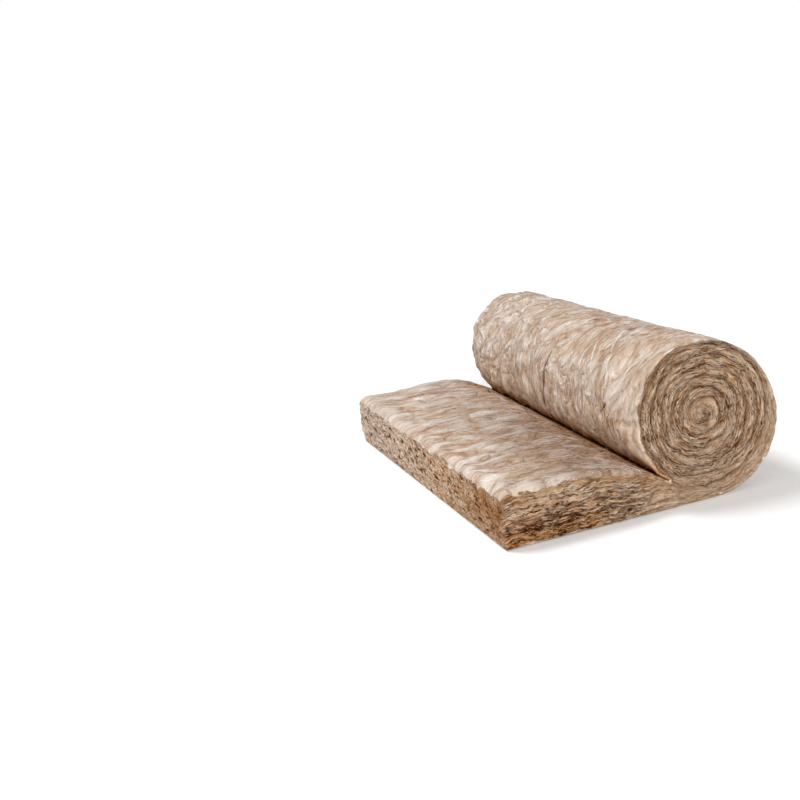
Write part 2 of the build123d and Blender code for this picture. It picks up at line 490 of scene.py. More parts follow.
class Graph:
    """Adds nodes to one tree, shader or geometry, and links them up."""

    def __init__(self, tree):
        self.tree = tree

    def feed(self, socket, value):
        if isinstance(value, bpy.types.NodeSocket):
            self.tree.links.new(value, socket)
        elif value is not None:
            socket.default_value = value

    def add(self, kind, values=(), out=0, **settings):
        node = self.tree.nodes.new(kind)
        for name, setting in settings.items():
            setattr(node, name, setting)
        for key, value in values.items() if isinstance(values, dict) else enumerate(values):
            self.feed(node.inputs[key], value)
        return node if out is None else node.outputs[out]

    def calc(self, operation, *values):
        return self.add("ShaderNodeMath", values, operation=operation)

    def chain(self, operation, values):
        found = values[0]
        for value in values[1:]:
            found = self.calc(operation, found, value)
        return found

    def times(self, *values):
        return self.chain("MULTIPLY", values)

    def plus(self, *values):
        return self.chain("ADD", values)

    def most(self, *values):
        return self.chain("MAXIMUM", values)

    def minus(self, value, taken):
        return self.calc("SUBTRACT", value, taken)

    def rest(self, share):
        """What is left of 1."""
        return self.minus(1.0, share)

    def fit(self, value, factor, base):
        """The value times a factor, plus a base."""
        return self.calc("MULTIPLY_ADD", value, factor, base)

    def off_middle(self, noise):
        return self.calc("ABSOLUTE", self.minus(noise, 0.5))

    def vector(self, operation, *values, out=0):
        return self.add("ShaderNodeVectorMath", values, out=out, operation=operation)

    def scaled(self, vector, factor):
        return self.add("ShaderNodeVectorMath", {0: vector, "Scale": factor}, operation="SCALE")

    def distance(self, place, other):
        return self.vector("DISTANCE", place, other, out=1)

    def join(self, x=0.0, y=0.0, z=0.0):
        return self.add("ShaderNodeCombineXYZ", (x, y, z))

    def parts(self, vector):
        return self.add("ShaderNodeSeparateXYZ", (vector,), out=None).outputs

    def ramp(self, value, low, high, to_low=0.0, to_high=1.0):
        """A smooth step from to_low to to_high while value goes from low to high."""
        return self.add("ShaderNodeMapRange", (value, low, high, to_low, to_high),
                        interpolation_type="SMOOTHSTEP")

    def mix(self, share, low, high):
        return self.add("ShaderNodeMix", (share, None, low, high), data_type="FLOAT")

    def tint(self, share, low, high, way="MIX"):
        return self.add("ShaderNodeMix", {0: share, 6: low, 7: high}, out=2, data_type="RGBA", blend_type=way)

    def noise(self, place, lengths, seed=0.0, detail=2.0, rough=0.5, out=0):
        """Noise about as long as the given lengths in metres along the three axes of place."""
        spread = self.vector("MULTIPLY_ADD", place, tuple(1 / length for length in lengths),
                             (seed, 1.7 * seed, 2.3 * seed))
        values = {"Vector": spread, "Scale": 1.0, "Detail": detail, "Roughness": rough}
        return self.add("ShaderNodeTexNoise", values, out=out)

    def drift(self, place, length, seed):
        """Smooth noise for a vector, between -0.5 and 0.5 along each axis."""
        noise = self.noise(place, (length,) * 3, seed, detail=1.0, out=1)
        return self.vector("SUBTRACT", noise, (0.5, 0.5, 0.5))

    def wobbled(self, place, length, reach, seed, flat=(1.0, 1.0, 1.0)):
        """The place, moved about by noise of the given length, at most by about reach."""
        reaches = tuple(2 * reach * part for part in flat)
        return self.vector("ADD", place, self.vector("MULTIPLY", self.drift(place, length, seed), reaches))

    def valleys(self, place, lengths, seed, width, detail=1.5):
        """0 where noise crosses its middle, 1 from the given width away."""
        return self.ramp(self.off_middle(self.noise(place, lengths, seed, detail=detail)), 0.0, width)

    def lines(self, place, lengths, seed, width, detail=3.0, rough=0.65):
        """Thin lines that wind along where noise crosses its middle, 1 on the line."""
        return self.ramp(self.off_middle(self.noise(place, lengths, seed, detail, rough)), width, 0.0)

    def billow(self, place, lengths, seed, width=0.2, line=0.016, detail=2.0):
        """Rounded lumps with sharp valleys between them, and a thin line along each valley."""
        off = self.off_middle(self.noise(place, lengths, seed, detail=detail))
        lump = self.calc("POWER", self.calc("MINIMUM", self.times(off, 1 / width), 1.0), 0.65)
        return lump, self.ramp(off, line, 0.0)

    def stroke(self, place, start, stop, width):
        """1 on the line from start to stop, 0 from the given width away. It thins out at both ends."""
        run = Vector((*stop, 0.0)) - Vector((*start, 0.0))
        off = self.vector("SUBTRACT", place, (*start, 0.0))
        share = self.vector("DOT_PRODUCT", off, tuple(run / run.length_squared), out=1)
        share = self.calc("MINIMUM", self.most(share, 0.0), 1.0)
        away = self.distance(off, self.scaled(tuple(run), share))
        middle = self.calc("ABSOLUTE", self.fit(share, 2.0, -1.0))
        return self.ramp(self.fit(self.calc("POWER", middle, 4.0), width / 2, away), width, 0.0)

    def strokes(self, place, lines):
        """The strongest of several strokes, each given as start, stop and width."""
        return self.most(*[self.stroke(place, *line) for line in lines])

    def turned(self, place, angle):
        return self.add("ShaderNodeVectorRotate", {"Vector": place, "Angle": angle}, rotation_type="Z_AXIS")

    def along_tail(self, flat):
        """The place on the skin with the sway of the tail's folds."""
        return self.wobbled(self.wobbled(flat, 0.2, 0.03, 2.1), 0.06, 0.012, 3.1)

    def round_roll(self, flat, reach):
        """The place on the skin, turned so that folds lean a little from straight round the roll."""
        swayed = self.wobbled(flat, SKIN_SWAY, SKIN_SWAY_REACH, 7.7)
        return self.turned(self.wobbled(swayed, 0.05, reach, 8.8), STREAK_TURN)

    def open_share(self, place, turn, low, high, loose, tight):
        """How far the gap between the turns stands open: all round beside the loose outer turn."""
        shown = self.ramp(self.noise(place, (0.03,) * 3, 59.0), 0.36, high, low)
        shown = self.times(shown, self.ramp(turn, 2.2, 1.2, tight))
        return self.most(shown, self.ramp(turn, 2.0, 1.7, 0.0, loose))


class Coat:
    """A colour that is laid on in coats, each where all its shares are above zero."""

    def __init__(self, graph, colour):
        self.graph = graph
        self.colour = colour

    def lay(self, colour, *shares, way="MIX"):
        self.colour = self.graph.tint(self.graph.times(*shares), self.colour, colour, way)


def new_tree(name, sizes):
    """A geometry tree with one geometry in and out, and a named input for each size."""
    tree = bpy.data.node_groups.new(name, "GeometryNodeTree")
    tree.interface.new_socket("Geometry", in_out="INPUT", socket_type="NodeSocketGeometry")
    for label, size in sizes.items():
        kind = "NodeSocketInt" if isinstance(size, int) else "NodeSocketFloat"
        tree.interface.new_socket(label, in_out="INPUT", socket_type=kind)
    tree.interface.new_socket("Geometry", in_out="OUTPUT", socket_type="NodeSocketGeometry")
    return tree, Graph(tree), tree.nodes.new("NodeGroupInput").outputs


def field(graph, name, kind="FLOAT"):
    return graph.add("GeometryNodeInputNamedAttribute", (name,), data_type=kind)


def stored(graph, geometry, name, value, domain, kind="FLOAT"):
    return graph.add("GeometryNodeStoreNamedAttribute", {"Geometry": geometry, "Name": name, "Value": value},
                     data_type=kind, domain=domain)


def finish_tree(graph, geometry, finish):
    real = graph.add("GeometryNodeRealizeInstances", (geometry,))
    done = graph.add("GeometryNodeSetMaterial", {"Geometry": real, "Material": finish})
    graph.add("NodeGroupOutput", (done,), out=None)


def put(name, data):
    """A new object in the scene."""
    made = bpy.data.objects.new(name, data)
    bpy.context.scene.collection.objects.link(made)
    return made


def grown(name, source, tree, sizes):
    """Run a geometry tree on a mesh and keep what it makes as a plain mesh piece."""
    piece = put(name, source)
    modifier = piece.modifiers.new(name, "NODES")
    modifier.node_group = tree
    for item in tree.interface.items_tree:
        if item.in_out == "INPUT" and item.name in sizes:
            modifier[item.identifier] = sizes[item.name]
    graph = bpy.context.evaluated_depsgraph_get()
    result = bpy.data.meshes.new_from_object(piece.evaluated_get(graph), preserve_all_data_layers=True,
                                             depsgraph=graph)
    piece.modifiers.remove(modifier)
    piece.data = result
    result.polygons.foreach_set("use_smooth", [True] * len(result.polygons))
    result.name = name
    return piece


def emptied(owner):
    """The graph of a material's or world's own tree, with nothing in it."""
    owner.use_nodes = True
    owner.node_tree.nodes.clear()
    return Graph(owner.node_tree)


def end_finish(graph, colour, roughness, normal=None):
    shader = graph.add("ShaderNodeBsdfPrincipled", {
        "Base Color": colour, "Roughness": roughness, "Specular IOR Level": 0.0, "Normal": normal})
    graph.add("ShaderNodeOutputMaterial", (shader,), out=None)


def attribute(graph, name, out="Fac"):
    return graph.add("ShaderNodeAttribute", out=out, attribute_name=name)


def srgb(red, green, blue):
    """A colour as it is seen, in 0 to 255, as the linear colour that a shader takes."""
    parts = [(part / 255 + 0.055) / 1.055 for part in (red, green, blue)]
    return tuple(part ** 2.4 for part in parts) + (1.0,)


# Colours of the wool, and tints that paint shade on it
WHITE_WOOL = srgb(244, 240, 236)
PALE = srgb(225, 211, 199)
SKIN = srgb(203, 183, 164)
TAN = srgb(182, 150, 119)
SKIN_TAN = srgb(180, 152, 127)
AMBER = srgb(166, 116, 70)
GOLD = srgb(194, 148, 100)
CREASE_BROWN = srgb(128, 74, 30)
CHIP = srgb(250, 228, 204)
CUT_LIGHT = srgb(236, 203, 170)
CUT_MID = srgb(214, 170, 129)
CUT_DARK = srgb(156, 103, 56)
DEEP = srgb(84, 38, 8)
NIP_SHADE = srgb(242, 208, 170)
TAIL_SHADE = srgb(212, 208, 206)
WARM_SHADE = srgb(232, 202, 168)
SEAM_BROWN = srgb(98, 52, 16)
NIP_SHADOW_LINE = srgb(132, 70, 26)
COOL_WOOL = srgb(215, 206, 198)
LOW_SHADE = srgb(226, 198, 160)

# Marks on the roll's skin, by the way along it from the contact line and the place across: start, stop, width
MARK_WOBBLE = (0.022, 0.0016, 121.0)
DARK_CREASES = (
    ((0.400, -0.030), (0.436, -0.014), 0.0046),
    ((0.432, -0.016), (0.464, -0.004), 0.0060),
    ((0.458, -0.006), (0.496, 0.008), 0.0050),
    ((0.462, -0.226), (0.490, -0.234), 0.0046),
    ((0.443, -0.216), (0.457, -0.196), 0.0030),
)
PALE_STRANDS = (
    ((0.334, -0.158), (0.379, -0.192), 0.0026),
    ((0.377, -0.191), (0.422, -0.218), 0.0034),
    ((0.366, -0.133), (0.414, -0.168), 0.0030),
    ((0.370, -0.105), (0.300, -0.134), 0.0024),
)
PALE_PATCHES = (
    ((0.345, -0.262), (0.460, -0.272), 0.030),
    ((0.424, -0.105), (0.436, -0.145), 0.018),
)
TAN_PATCHES = (
    ((0.372, -0.155), (0.366, -0.245), 0.034),
    ((0.446, -0.203), (0.500, -0.206), 0.018),
    ((0.330, -0.150), (0.322, -0.176), 0.011),
    ((0.330, -0.046), (0.315, -0.100), 0.013),
)
BROWN_PATCHES = (
    ((0.334, -0.050), (0.324, -0.086), 0.010),
    ((0.332, -0.150), (0.327, -0.174), 0.008),
    ((0.462, -0.218), (0.505, -0.222), 0.008),
)
TUFT_PLACE = (0.012, -0.3, 0.008)
STREAK_TURN = math.radians(-22)
SLIT_LEAN = 0.27
SKIN_SWAY = 0.16
SKIN_SWAY_REACH = 0.045
LAYER_BEND = (1.0, 0.5, 0.7)

# Small moves of the surface, in metres, and how deep the bumps in the finish look
SWELL_HEIGHT = 0.004
DARK_CREASE_DEPTH = 0.003
PALE_STRAND_HEIGHT = 0.001
LAYER_SWAY = 0.011
LAYER_JOLT = 0.005
FLOOR_CALM = 0.012
SKIN_BUMP = 0.005
CUT_BUMP = 0.0092

# The stretch of skin, by the way along it, where the roll's top begins
TOP_START = 0.39
TOP_FULL = 0.32


def relief_tree(finish, sizes):
    """Folds on the skin, layers on the cut faces and the gap between the turns."""
    tree, g, inputs = new_tree("wool relief", sizes)
    noise, times, minus, ramp, fit = g.noise, g.times, g.minus, g.ramp, g.fit
    fold_depth, brush_depth, layer_depth = inputs["fold depth"], inputs["brush depth"], inputs["layer depth"]
    wool, rise, spot = (field(g, name, "FLOAT_VECTOR") for name in ("wool", "rise", "spot"))
    cut, gap, tail, end = (field(g, name) for name in ("cut", "gap", "tail", "end"))
    place = g.add("GeometryNodeInputPosition")
    x, y, z = g.parts(place)
    flat = g.vector("MULTIPLY", wool, (1.0, 1.0, 0.0))

    # Folds on the tail run along it. Folds on the roll lean a little from straight round it.
    strayed = g.along_tail(flat)
    wide = g.valleys(strayed, (0.12, 0.03, 1.0), 11.0, 0.19, detail=1.0)
    small = g.valleys(strayed, (0.05, 0.0125, 1.0), 17.0, 0.17)
    tail_fold = fit(minus(small, 0.6), times(fold_depth, 0.36), times(fold_depth, minus(wide, 0.66)))
    tail_fold = times(tail_fold, ramp(g.calc("MINIMUM", minus(x, EDGE_X), minus(y, LOW.y)), 0.0, 0.04, 0.15))

    leaning = g.round_roll(flat, 0.01)
    brushed = g.valleys(leaning, (0.042, 0.021, 1.0), 29.0, 0.18)
    fine = noise(leaning, (0.03, 0.008, 1.0), 31.0, detail=1.0)
    roll_fold = fit(minus(fine, 0.5), brush_depth, times(brush_depth, minus(brushed, 0.66)))
    roll_fold = times(roll_fold, ramp(g.parts(flat)[1], 0.02, 0.2, 0.45, 1.3))
    roll_fold = fit(minus(noise(flat, (0.14, 0.1, 1.0), 37.0, detail=0.0), 0.5), SWELL_HEIGHT, roll_fold)
    marked = g.wobbled(flat, *MARK_WOBBLE)
    roll_fold = fit(g.strokes(marked, DARK_CREASES), -DARK_CREASE_DEPTH, roll_fold)
    roll_fold = fit(g.strokes(marked, PALE_STRANDS), PALE_STRAND_HEIGHT, roll_fold)
    # How deep in a crease each point of the skin lies; the finish paints shade there
    crease = g.mix(tail, ramp(brushed, 0.42, 0.0), ramp(wide, 0.3, 0.0))
    crease = g.most(crease, times(0.7, ramp(small, 0.25, 0.0)), ramp(gap, 0.55, 1.0, 0.0, 0.8))

    # Layers on the cut faces, and a crumbly face at the free end
    bent = g.wobbled(wool, 0.022, 0.004, 41.0, flat=LAYER_BEND)
    layer = noise(bent, (0.04, 0.02, 0.0034), 43.0, rough=0.6)
    lump = noise(wool, (0.03, 0.03, 0.011), 47.0, detail=1.0)
    layers = fit(minus(lump, 0.5), layer_depth, times(minus(layer, 0.5), layer_depth))
    crumb = noise(place, (0.011, 0.011, 0.008), 53.0, detail=2.5, rough=0.6)
    face = g.mix(end, layers, fit(layers, 0.5, times(minus(crumb, 0.5), inputs["crumb depth"])))
    gap_open = g.open_share(place, g.parts(spot)[2], 0.1, 0.6, 0.75, 0.45)
    face = minus(face, times(gap, gap_open, inputs["gap depth"]))

    height = g.mix(cut, g.mix(tail, roll_fold, tail_fold), face)
    sway = g.vector("MULTIPLY", g.drift(place, 0.034, 61.0), (LAYER_SWAY, 0.0, LAYER_SWAY))
    jolt = g.vector("MULTIPLY", g.drift(place, 0.008, 62.0), (LAYER_JOLT, 0.0, LAYER_JOLT))
    inside = times(ramp(cut, 0.5, 1.0), g.rest(tail))
    move = g.vector("ADD", g.scaled(rise, height), g.scaled(g.vector("ADD", sway, jolt), inside))
    moved = g.vector("ADD", place, g.scaled(move, ramp(z, 0.0, FLOOR_CALM, 0.25)))
    moved = g.vector("MAXIMUM", moved, (-FLOOR_REACH, -FLOOR_REACH, 0.0))
    moved = g.add("GeometryNodeSetPosition", {"Geometry": inputs[0], "Position": moved})
    moved = stored(g, moved, "crease", times(crease, g.rest(cut)), "POINT")
    finish_tree(g, stored(g, moved, "height", height, "POINT"), finish)
    return tree


def wool_material():
    """The blanket's finish: pale brushed skin, brown layered cut faces."""
    material = bpy.data.materials.new("glass wool")
    g = emptied(material)
    noise, times, plus, most, ramp, fit, wobbled = g.noise, g.times, g.plus, g.most, g.ramp, g.fit, g.wobbled
    wool, spot = (attribute(g, name, "Vector") for name in ("wool", "spot"))
    cut, tail, end, crease, gap, raised = (
        attribute(g, name) for name in ("cut", "tail", "end", "crease", "gap", "height"))
    place = g.add("ShaderNodeTexCoord", out="Object")
    flat = g.vector("MULTIPLY", wool, (1.0, 1.0, 0.0))
    along, across = g.parts(wool)[:2]
    from_floor, from_top, turn = g.parts(spot)
    x, y, z = g.parts(place)
    on_roll = g.rest(tail)
    on_side = g.minus(tail, end)

    # Skin: soft billows with thin creases between them, which lean on the roll and run along the tail
    leaning = g.vector("MULTIPLY", g.round_roll(flat, 0.018), (1.35, 1.0, 1.0))
    straight = g.vector("MULTIPLY", g.along_tail(flat), (0.85, 0.9, 1.0))
    grain = g.add("ShaderNodeMix", {0: tail, 4: leaning, 5: straight}, out=1, data_type="VECTOR")
    cloud = noise(grain, (0.11, 0.05, 1.0), 79.0, 3.0, 0.6)
    patch = noise(grain, (0.06, 0.03, 1.0), 83.0, 3.0, 0.6)
    big, big_crease = g.billow(grain, (0.055, 0.026, 1.0), 67.0, width=0.24, line=0.012)
    middle, middle_crease = g.billow(wobbled(grain, 0.02, 0.007, 68.0), (0.026, 0.012, 1.0), 69.0)
    small, small_crease = g.billow(wobbled(grain, 0.01, 0.0035, 70.0), (0.012, 0.005, 1.0), 71.0,
                                   width=0.15, line=0.03, detail=1.0)
    hair = g.lines(wobbled(grain, 0.02, 0.007, 9.0), (0.03, 0.0022, 1.0), 73.0, 0.035, 1.0, 0.5)
    dark_hair = g.lines(wobbled(grain, 0.02, 0.007, 10.0), (0.034, 0.0034, 1.0), 74.0, 0.03, 1.0, 0.5)
    fuzz = noise(grain, (0.006, 0.0022, 1.0), 86.0, 3.0, 0.65)
    fleck = noise(wobbled(grain, 0.012, 0.004, 130.0), (0.016, 0.0045, 1.0), 131.0, 3.0, 0.6)
    wear = ramp(noise(grain, (0.07, 0.04, 1.0), 87.0), 0.4, 0.6)
    broken = ramp(noise(grain, (0.018, 0.018, 1.0), 88.0), 0.42, 0.58)
    marked = wobbled(flat, *MARK_WOBBLE)
    ragged_mark = wobbled(marked, 0.009, 0.006, 122.0)

    # Where on the skin: calm beside the free end, silky near the near rim; painted light low on the roll, and
    # painted shade and a painted shadow line at the nip
    lip_edge = ramp(g.minus(x, EDGE_X), 0.0, 0.03, 0.3)
    steady = g.rest(times(tail, 0.4))
    silky = times(on_roll, ramp(across, LOW.y + 0.13, LOW.y + 0.05))
    rough = times(fit(silky, -0.6, 1.0), times(steady, lip_edge))
    broken_crease = times(lip_edge, ramp(patch, 0.38, 0.54), broken)
    inner_tail = times(tail, ramp(x, LOW.x + 0.04, LOW.x + 0.16))
    on_skin = ramp(from_floor, 0.001, 0.0)
    off_skin = ramp(from_floor, 0.02, 0.03)
    painted_light_low_roll = times(ramp(along, NIP_WAY - 0.12, NIP_WAY - 0.05), on_skin)
    top_roll = times(ramp(along, TOP_START, TOP_FULL), on_roll)
    nip_tail = times(ramp(from_floor, 0.074, 0.05), off_skin)
    nip_roll = times(ramp(along, NIP_WAY - 0.035, NIP_WAY - 0.004), on_skin)
    nip_painted_shade = times(most(nip_tail, nip_roll), ramp(patch, 0.3, 0.6, 0.55))
    nip_shadow_tail = times(ramp(from_floor, 0.0475, 0.0445), off_skin)
    nip_shadow_roll = times(ramp(along, NIP_WAY - 0.01, NIP_WAY - 0.001), on_skin)
    off_rim = ramp(y, LOW.y + 0.008, LOW.y + 0.05, 0.1, 0.9)

    skin = Coat(g, g.tint(ramp(cloud, 0.4, 0.62), SKIN, PALE))
    skin.lay(SKIN_TAN, steady, ramp(patch, 0.55, 0.7, 0.0, 0.6))
    skin.lay(COOL_WOOL, ramp(y, -0.12, 0.2, 0.0, 0.75))
    skin.lay(TAN, g.strokes(ragged_mark, TAN_PATCHES), 0.65)
    skin.lay(WHITE_WOOL, g.strokes(ragged_mark, PALE_PATCHES), 0.5)
    skin.lay(SKIN_TAN, inner_tail, ramp(cloud, 0.62, 0.42, 0.45))
    skin.lay(COOL_WOOL, tail, ramp(y, -0.2, 0.15, 0.0, 0.7))
    # Painted light: the low part of the roll, above the nip, lightened against the shade that falls there
    skin.lay(CUT_LIGHT, painted_light_low_roll, 0.6)
    # Painted shade: tan in the valleys between the big lumps
    skin.lay(SKIN_TAN, ramp(big, 0.7, 0.05, 0.0, 0.8))
    skin.lay(SKIN_TAN, top_roll, ramp(patch, 0.4, 0.62, 0.1, 0.75))
    skin.lay(AMBER, top_roll, ramp(fleck, 0.57, 0.67, 0.0, 0.8))
    skin.lay(WHITE_WOOL, top_roll, ramp(fleck, 0.42, 0.34, 0.0, 0.7))
    # Painted highlights: white on the crests of the lumps
    skin.lay(WHITE_WOOL, tail, lip_edge, ramp(big, 0.55, 1.0, 0.0, 0.5))
    skin.lay(WHITE_WOOL, rough, ramp(middle, 0.5, 1.0, 0.0, 0.6))
    skin.lay(WHITE_WOOL, rough, ramp(fuzz, 0.52, 0.68, 0.0, 0.45))
    skin.lay(TAN, rough, ramp(fuzz, 0.47, 0.32, 0.0, 0.6))
    skin.lay(TAN, small_crease, wear, rough)
    skin.lay(AMBER, middle_crease, rough, broken_crease, 0.5)
    skin.lay(WHITE_WOOL, hair, ramp(middle, 0.2, 0.8, 0.05, 0.3))
    skin.lay(TAN, dark_hair, steady, ramp(patch, 0.35, 0.6, 0.15, 0.5))
    skin.lay(CREASE_BROWN, big_crease, g.mix(tail, 0.6, 0.5), broken_crease)
    # Painted shade: warm brown in the creases of the relief, in patches
    skin.lay(AMBER, crease, ramp(patch, 0.35, 0.6, 0.1, 0.5))
    skin.lay(CREASE_BROWN, g.strokes(ragged_mark, BROWN_PATCHES), 0.8)
    skin.lay(WHITE_WOOL, g.strokes(marked, PALE_STRANDS), 0.65)
    skin.lay(DEEP, g.strokes(marked, DARK_CREASES))
    # Painted shade: the inner tail darker towards the near side
    skin.lay(TAIL_SHADE, inner_tail, ramp(y, 0.2, -0.05, 0.3), way="MULTIPLY")
    # Painted shade: the skin darker and warmer beside the nip
    skin.lay(NIP_SHADE, nip_painted_shade, way="MULTIPLY")
    skin.lay(AMBER, nip_painted_shade, ramp(middle, 0.7, 0.1, 0.1, 0.55))
    # Painted shadow: a dark brown line along the nip, fainter at the near rim
    skin.lay(NIP_SHADOW_LINE, most(nip_shadow_tail, nip_shadow_roll), off_rim)

    # Cut faces: thin bent layers with dark lines between them, light chips and dark specks
    bent = wobbled(wobbled(wool, 0.03, 0.0034, 41.0, flat=LAYER_BEND), 0.008, 0.0013, 42.0)
    layer = noise(bent, (0.032, 0.014, 0.0025), 89.0, 5.0, 0.72)
    seam = g.lines(bent, (0.05, 0.016, 0.004), 91.0, 0.03)
    strand = noise(bent, (0.014, 0.008, 0.0011), 97.0, 3.0, 0.65)
    chip = noise(bent, (0.008, 0.005, 0.0012), 101.0, rough=0.6)
    warm = noise(wool, (0.05, 0.05, 0.012), 103.0)
    crevice = g.lines(bent, (0.07, 0.02, 0.009), 93.0, 0.055)
    crevice = times(crevice, ramp(from_floor, 0.055, 0.02, 0.25), ramp(cloud, 0.4, 0.5), on_side)
    by_gap = plus(g.calc("MINIMUM", from_floor, from_top), fit(layer, 0.006, -0.003))
    by_gap = times(ramp(by_gap, 0.0036, 0.0004), on_roll)
    faint = g.rest(times(end, 0.7))
    seen_seam = times(seam, faint, ramp(cloud, 0.35, 0.55, 0.35))
    shaded_left_low = times(ramp(x, 0.02, -0.12), ramp(from_floor, 0.055, 0.008))

    face = Coat(g, g.tint(ramp(layer, 0.36, 0.57), CUT_MID, CUT_LIGHT))
    face.lay(AMBER, ramp(warm, 0.46, 0.66, 0.0, 0.6))
    face.lay(CUT_DARK, faint, ramp(layer, 0.46, 0.34))
    face.lay(CHIP, ramp(strand, 0.52, 0.63, 0.0, 0.95))
    face.lay(CREASE_BROWN, faint, ramp(strand, 0.42, 0.32))
    face.lay(CHIP, ramp(chip, 0.57, 0.66, 0.0, 0.95))
    face.lay(SEAM_BROWN, seen_seam)
    face.lay(DEEP, ramp(chip, 0.39, 0.32))
    face.lay(CUT_DARK, by_gap, ramp(warm, 0.4, 0.62, 0.0, 0.6))
    face.lay(DEEP, crevice, 0.9)
    # Painted shade: the tail's sides darker low down, towards the free end
    face.lay(LOW_SHADE, on_side, shaded_left_low, way="MULTIPLY")

    # The free end: crumbs, slits that lean and deeper holes under its top edge
    sloped = g.vector("ADD", place, g.scaled((0.0, 0.0, -SLIT_LEAN), y))
    slit = noise(wobbled(sloped, 0.012, 0.002, 104.0), (0.03, 0.017, 0.0042), 107.0, 3.0, 0.6)
    hole = noise(wobbled(sloped, 0.015, 0.004, 106.0), (0.036, 0.022, 0.008), 109.0, 3.0, 0.6)
    crumb = noise(wobbled(sloped, 0.012, 0.002, 105.0), (0.008, 0.008, 0.0024), 108.0, 4.0, 0.7)
    fringe = times(end, ramp(fit(crumb, 0.01, from_top), 0.006, 0.02, 0.25))
    face.lay(PALE, end, ramp(y, LOW.y + 0.2, HIGH.y - 0.1, 0.0, 0.85))
    face.lay(CHIP, end, ramp(y, LOW.y + 0.05, LOW.y + 0.35, 0.5), ramp(crumb, 0.5, 0.6))
    face.lay(AMBER, end, ramp(y, LOW.y + 0.25, LOW.y + 0.04, 0.1, 0.8), ramp(warm, 0.35, 0.6, 0.4))
    face.lay(AMBER, end, ramp(crumb, 0.5, 0.36))
    face.lay(CREASE_BROWN, fringe, ramp(slit, 0.44, 0.37))
    face.lay(DEEP, fringe, ramp(slit, 0.37, 0.32, 0.0, 0.5))
    face.lay(DEEP, end, ramp(hole, 0.4, 0.35), ramp(from_top, 0.05, 0.012, 0.3))

    # The gap between the turns, the loose outer turn, and lighter wool low on the right
    gap_open = g.open_share(place, turn, 0.0, 0.58, 0.9, 0.75)
    face.lay(DEEP, ramp(plus(gap, fit(strand, 1.2, -0.6)), 0.3, 0.8), gap_open)
    slack = times(ramp(plus(from_floor, from_top), 0.0135, 0.017), on_roll)
    face.lay(CUT_LIGHT, slack, ramp(warm, 0.35, 0.55, 0.3, 0.6))
    face.lay(CUT_LIGHT, ramp(x, -0.03, 0.06), ramp(z, 0.06, 0.02), 0.35)
    # Painted shade: darker and warmer in the hollows of the relief, as light scattered in the wool would look
    face.lay(WARM_SHADE, ramp(raised, 0.0004, -0.003, 0.0, 0.7), way="MULTIPLY")
    tuft_away = g.distance(wobbled(place, 0.009, 0.009, 123.0), TUFT_PLACE)
    curl = g.lines(wobbled(place, 0.006, 0.004, 124.0), (0.007,) * 3, 125.0, 0.07, 2.0, 0.5)
    face.lay(CHIP, ramp(tuft_away, 0.0075, 0.004), 0.8)
    face.lay(CREASE_BROWN, ramp(tuft_away, 0.012, 0.008), curl, 0.4)

    # The pale skin hangs a little over the cut faces, and a golden band follows under it
    ragged = fit(noise(wool, (0.02, 0.02, 0.01), 109.0, 3.0, 0.6), 0.03, -0.015)
    under_top = plus(from_top, ragged)
    face.lay(GOLD, ramp(under_top, 0.0135, 0.0065), on_side, ramp(strand, 0.3, 0.6, 0.35, 0.8))
    outer = times(ramp(fit(ragged, 0.4, from_floor), 0.003, 0.001), ramp(turn, 1.02, 0.98), 0.6)
    skinned = most(times(ramp(under_top, 0.0055, 0.002), tail), outer)
    bare = times(ramp(cut, 0.15, 0.75), g.rest(skinned))

    skin_height = fit(middle, times(rough, 0.5), times(big, lip_edge, g.mix(tail, 1.1, 1.6)))
    skin_height = fit(small, times(rough, 0.16), skin_height)
    for part, weight in ((fuzz, 0.16), (hair, 0.05), (dark_hair, -0.05)):
        skin_height = fit(part, weight, skin_height)
    face_height = layer
    for part, weight in ((seen_seam, -0.5), (strand, 0.8), (crevice, -0.8), (by_gap, -0.5)):
        face_height = fit(part, weight, face_height)
    end_height = plus(crumb, ramp(slit, 0.34, 0.44, 0.0, 0.9))
    height = g.mix(bare, skin_height, g.mix(end, face_height, end_height))
    depth = g.mix(bare, SKIN_BUMP, CUT_BUMP)
    bump = g.add("ShaderNodeBump", {"Strength": 0.95, "Distance": depth, "Height": height})
    end_finish(g, g.tint(bare, skin.colour, face.colour), 0.95, bump)
    return material


